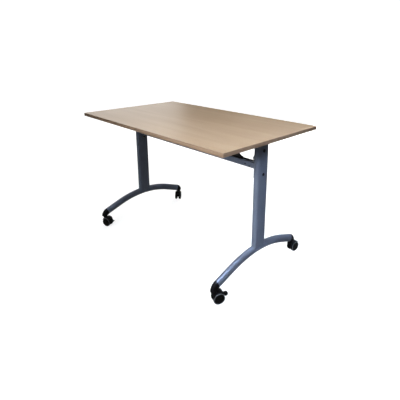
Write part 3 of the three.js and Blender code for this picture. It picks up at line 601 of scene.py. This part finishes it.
def make_brake(label, place):
    """Brake pedal: a lug between the wheels and a ribbed pad with round corners behind them."""
    start, end = BRAKE_PAD
    half = BRAKE_PAD_WIDTH / 2
    thick = BRAKE_PAD_THICKNESS / 2
    pedal = Shell()
    rings = []
    for height, inset in ((-thick, 1.2), (-thick + 0.35, 0.35), (-thick + 1.2, 0), (thick - 1.2, 0),
                          (thick - 0.35, 0.35), (thick, 1.2)):
        ring = [(start + inset, -half + inset, height)]
        for cy, first in ((-half + BRAKE_PAD_CORNER, -TURN / 4), (half - BRAKE_PAD_CORNER, 0)):
            for step in range(11):
                angle = first + TURN / 4 * step / 10
                radius = BRAKE_PAD_CORNER - inset
                ring.append((end - BRAKE_PAD_CORNER + radius * math.cos(angle), cy + radius * math.sin(angle), height))
        ring.append((start + inset, half - inset, height))
        rings.append(ring)
    pedal.loft(rings)
    for rib in range(4):
        x = end - 3.4 - 3.2 * rib
        reach = half - 4.2 + 0.9 * rib
        section = [(0.7 * math.cos(TURN * k / 12), 0.7 * math.sin(TURN * k / 12)) for k in range(12)]
        pedal.loft([[(x + u, v, thick + w) for u, w in section] for v in (-reach, reach)])
    arm = HOOD_WEB / 2 - 0.4
    lug = [(BRAKE_LUG * math.cos(TURN * k / 32), BRAKE_LUG * math.sin(TURN * k / 32)) for k in range(32)]
    pedal.loft([[(u, v, w) for u, w in lug] for v in (-arm, arm)])
    bar = [(0, -thick), (start + 3, -thick + 0.2), (start + 3, thick - 0.2), (0, thick)]
    pedal.loft([[(u, v, w) for u, w in bar] for v in (-arm, arm)])
    pivot = Matrix.Translation(polar(*BRAKE_PIVOT)) @ Matrix.Rotation(-BRAKE_PAD_ANGLE, 4, "Y")
    node = f"castor_{label}_brake"
    piece("pedal_" + label, pedal.moved(place @ pivot), "black_nylon", node, [node], sharp=40)


def make_castor(label, side, end):
    swivel = Matrix.Rotation(math.radians(TRAIL_ANGLES[label]), 4, "Z")
    place = Matrix.Translation((side * LEG_X, LEG_Y + end * CASTOR_REACH, 0)) @ swivel
    braked = f"castor_{label}_brake" in nodes
    make_hood(label, place, braked)
    for hand, face in (("left", 1), ("right", -1)):
        make_wheel(label, hand, face, place)
    if braked:
        make_brake(label, place)


# Bolts

def make_bolt(node, side, slot):
    """Button-head bolt: a dome with a six-sided recess, its shank running through the column."""
    low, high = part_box(node)
    centre = (low + high) / 2 / MM
    seat = (high.x if side > 0 else -low.x) / MM - BOLT_HEAD_HEIGHT
    length = (high.x - low.x) / MM - BOLT_HEAD_HEIGHT
    radius = BOLT_HEAD_RADIUS
    count = 48
    rings = turned([(5, -length), (5, 0), (radius - 0.4, 0), (radius, 0.5), (radius, 1.3)], count)
    for step in range(1, 7):
        angle = TURN / 4 * step / 9
        rings.append(ring_round(radius * math.cos(angle), 1.3 + (BOLT_HEAD_HEIGHT - 1.3) * math.sin(angle), count))
    flats = 3.0
    for height in (BOLT_HEAD_HEIGHT - 0.25, BOLT_HEAD_HEIGHT - 3):
        ring = []
        for i in range(count):
            angle = TURN * i / count
            reach = flats / math.cos((angle + TURN / 12) % (TURN / 6) - TURN / 12)
            ring.append((reach * math.cos(angle), reach * math.sin(angle), height))
        rings.append(ring)
    rings += turned([(0, BOLT_HEAD_HEIGHT - 3)], count)
    place = Matrix.Translation((side * seat, centre.y, centre.z)) @ Matrix.Rotation(side * TURN / 4, 4, "Y")
    piece("round_" + node, Shell().loft(rings).moved(place), slot, "frame", [node], sharp=40)


def make_shaft():
    low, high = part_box("release_shaft")
    centre = (low + high) / 2 / MM
    half = (high.x - low.x) / 2 / MM
    radius = (high.z - low.z) / 2 / MM
    profile = [(0, -half), (radius - 0.6, -half), (radius, -half + 0.6), (radius, half - 0.6),
               (radius - 0.6, half), (0, half)]
    place = Matrix.Translation(centre) @ Matrix.Rotation(TURN / 4, 4, "Y")
    piece("round_shaft", Shell().loft(turned(profile, 32)).moved(place), "black_steel", "lock", ["release_shaft"])


def pan_screw(name, place, slot, body, radius, height, shank, length, replaced=()):
    """Pan-head screw with a cross recess. Its head stands on the plane that place puts it on."""
    count = 32
    rings = turned([(0, -length), (shank, -length + shank), (shank, 0), (radius, 0), (radius, height * 0.35),
                    (radius * 0.86, height * 0.78), (radius * 0.6, height)], count)
    for depth in (height, height * 0.45):
        ring = []
        for i in range(count):
            angle = TURN * i / count
            spoke = max(abs(math.cos(angle)), abs(math.sin(angle)))
            reach = radius * (0.5 if spoke > 0.94 else 0.17)
            ring.append((reach * math.cos(angle), reach * math.sin(angle), depth))
        rings.append(ring)
    piece(name, Shell().loft(rings).moved(place), slot, body, replaced, sharp=45)


def make_bracket_screw(node):
    low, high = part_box(node)
    centre = (low + high) / 2 / MM
    seat = low.z / MM + SCREW_HEAD_HEIGHT
    place = Matrix.Translation((centre.x, centre.y, seat)) @ Matrix.Rotation(TURN / 2, 4, "X")
    pan_screw("pan_" + node, place, "zinc_steel", "top", SCREW_HEAD_RADIUS, SCREW_HEAD_HEIGHT, SCREW_RADIUS,
              high.z / MM - seat, [node])


def make_beam_end(label, side):
    """Weld bead round the end of the beam, and two small screws in the beam's front beside the leg."""
    low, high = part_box("beam")
    end = (high.x if side > 0 else -low.x) / MM
    middle = (low + high) / 2 / MM
    rings = []
    depth, height = BEAM
    for quarter in range(4):
        diagonal = TURN * quarter / 4 + TURN / 8
        cy = math.copysign(depth / 2 - BEAM_CORNER, math.cos(diagonal))
        cz = math.copysign(height / 2 - BEAM_CORNER, math.sin(diagonal))
        for step in range(13):
            angle = TURN * quarter / 4 + TURN / 4 * step / 12
            out = Vector((0, math.cos(angle), math.sin(angle)))
            seam = Vector((side * end, middle.y + cy, middle.z + cz)) + out * BEAM_CORNER
            rings.append([seam + 1.9 * (math.cos(TURN * k / 8) * out + math.sin(TURN * k / 8) * Vector((1, 0, 0)))
                          for k in range(8)])
    piece("beam_weld_" + label, Shell().loft(rings, endless=True), "grey_paint", "frame", sharp=80)
    face = Matrix.Translation((0, low.y / MM, 0)) @ Matrix.Rotation(TURN / 4, 4, "X")
    for number, (x, z) in enumerate(((431, 592), (457, 584))):
        place = Matrix.Translation((side * x, 0, z)) @ face
        pan_screw(f"beam_screw_{label}_{number}", place, "black_steel", "frame", 3.6, 2, 1.8, 2)


# Assembly

SLOTS = {entry["node"]: entry["material_slot"] for entry in frame["record"]["subparts"]}
for name, made in nodes.items():
    made.data.materials.clear()
    made.data.materials.append(FINISHES[SLOTS[name]])

make_board()
make_shaft()
softened("release_lever", "black_nylon", "lock", 1.2)
softened("beam", "grey_paint", "frame", 0.0, sharp=40)
for label, side in LEGS.items():
    make_column(label, side)
    make_foot(label, side)
    make_beam_end(label, side)
    softened("column_cap_" + label, "black_nylon", "frame", 0.8)
    softened("flip_bracket_" + label, "grey_paint", "top", 0.6)
    softened("beam_end_plate_" + label, "grey_paint", "frame", 0.5)
    softened("lock_cam_" + label, "zinc_steel", "lock", 0.4)
    softened("pivot_nut_" + label, "zinc_steel", "frame", 0.5)
    softened("beam_nut_" + label, "zinc_steel", "frame", 0.5)
    softened("stop_buffer_" + label, "black_rubber", "frame", 0.8)
    make_bolt("pivot_bolt_" + label, side, "black_steel")
    make_bolt("beam_bolt_" + label, side, "black_steel")
    for end_label, end in ENDS.items():
        make_bracket_screw(f"bracket_screw_{label}_{end_label}")
        make_elbow(label, side, end_label, end)
        make_castor(f"{label}_{end_label}", side, end)


# Studio

def make_studio():
    """Round paper cove: a flat floor that bends up into a wall on all sides, and soft lamps."""
    wall, rise, bend = 5800, 3400, 1600
    profile = [(0, 0)]
    for step in range(13):
        angle = TURN / 4 * step / 12
        profile.append((wall - bend + bend * math.sin(angle), bend - bend * math.cos(angle)))
    profile.append((wall, rise))
    cove = Shell().loft(turned(profile, 96), ends=False)
    mesh = bpy.data.meshes.new("floor")
    mesh.from_pydata([corner * MM for corner in cove.corners], [], cove.faces)
    mesh.shade_smooth()
    floor = bpy.data.objects.new("floor", mesh)
    bpy.context.scene.collection.objects.link(floor)
    paper, tree, shader, place = start_material("white paper", {
        "Base Color": linear("acacab"), "Roughness": 0.9, "Specular IOR Level": 0.1, "Emission Color": linear("ffffff")})
    # Lit from behind, more so towards the wall, so that the floor runs into a white background
    away = add(tree, "ShaderNodeVectorMath", {0: place}, operation="LENGTH")
    glow = add(tree, "ShaderNodeMapRange", {"Value": (away, "Value"), "From Min": 1.2, "From Max": 4.5,
                                            "To Min": 0.68, "To Max": 0.9})
    tree.links.new(glow.outputs["Result"], shader.inputs["Emission Strength"])
    mesh.materials.append(paper)
    # The paper throws no light back, so the table keeps the dark undersides that it has over a darker floor
    floor.visible_diffuse = False
    floor.visible_glossy = False

    world = bpy.data.worlds.new("studio")
    world.use_nodes = True
    world.node_tree.nodes["Background"].inputs["Color"].default_value = linear("fff9ee")
    world.node_tree.nodes["Background"].inputs["Strength"].default_value = 0.1
    bpy.context.scene.world = world

    # Name, place, aim, diameter, power, colour, width of the beam and whether surfaces mirror the lamp
    for name, place, aim, size, power, colour, beam, mirrored in (
        ("side", (3.2, -0.4, 2.6), (0.5, 0, 0.4), 2.4, 36, "cadfff", 180, True),
        ("side_low", (2.6, -0.3, 3.2), (0.58, 0, 0.08), 0.9, 3.6, "cadfff", 21, True),
        ("front", (1.1, -3.1, 1.7), (0.65, 0, 0.3), 1.6, 19, "f1f8ff", 40, False),
        ("front_glint", (1.1, -3.1, 1.7), (0.65, 0, 0.3), 2.0, 5, "f1f8ff", 50, True),
        ("sheen", (-3.3, 1.6, 1.5), (0, 0, 0.7), 1.8, 12, "ffffff", 180, True),
        ("back", (-1.6, 3.2, 0.6), (0, 0, 0.35), 1.6, 190, "ffffff", 180, False),
        ("ceiling", (0, 0, 4.5), (0, 0, 0), 9.0, 212, "ffffff", 180, True),
    ):
        lamp = bpy.data.lights.new(name, "AREA")
        lamp.shape = "DISK"
        lamp.size = size
        lamp.energy = power
        lamp.color = linear(colour)[:3]
        lamp.spread = math.radians(beam)
        light = bpy.data.objects.new(name, lamp)
        light.visible_glossy = mirrored
        light.visible_camera = False
        light.location = place
        light.rotation_euler = (Vector(aim) - Vector(place)).to_track_quat("-Z", "Y").to_euler()
        bpy.context.scene.collection.objects.link(light)


def make_camera():
    """Camera fitted to the photograph: 400 x 400 pixels, focal length 347.5 pixels."""
    data = bpy.data.cameras.new("photo_camera")
    data.sensor_width = 36
    data.lens = 36 * 347.546 / 400
    data.shift_x = (200 - 208.159) / 400
    data.shift_y = (140.384 - 200) / 400
    data.clip_end = 50
    camera = bpy.data.objects.new("photo_camera", data)
    camera.location = Vector((1476.46, -1268.97, 1140.12)) * MM
    forward = Vector((-0.697853, 0.668502, -0.257112))
    camera.rotation_euler = forward.to_track_quat("-Z", "Y").to_euler()
    bpy.context.scene.collection.objects.link(camera)
    bpy.context.scene.camera = camera


make_studio()
make_camera()
bpy.context.scene.view_settings.view_transform = "Standard"
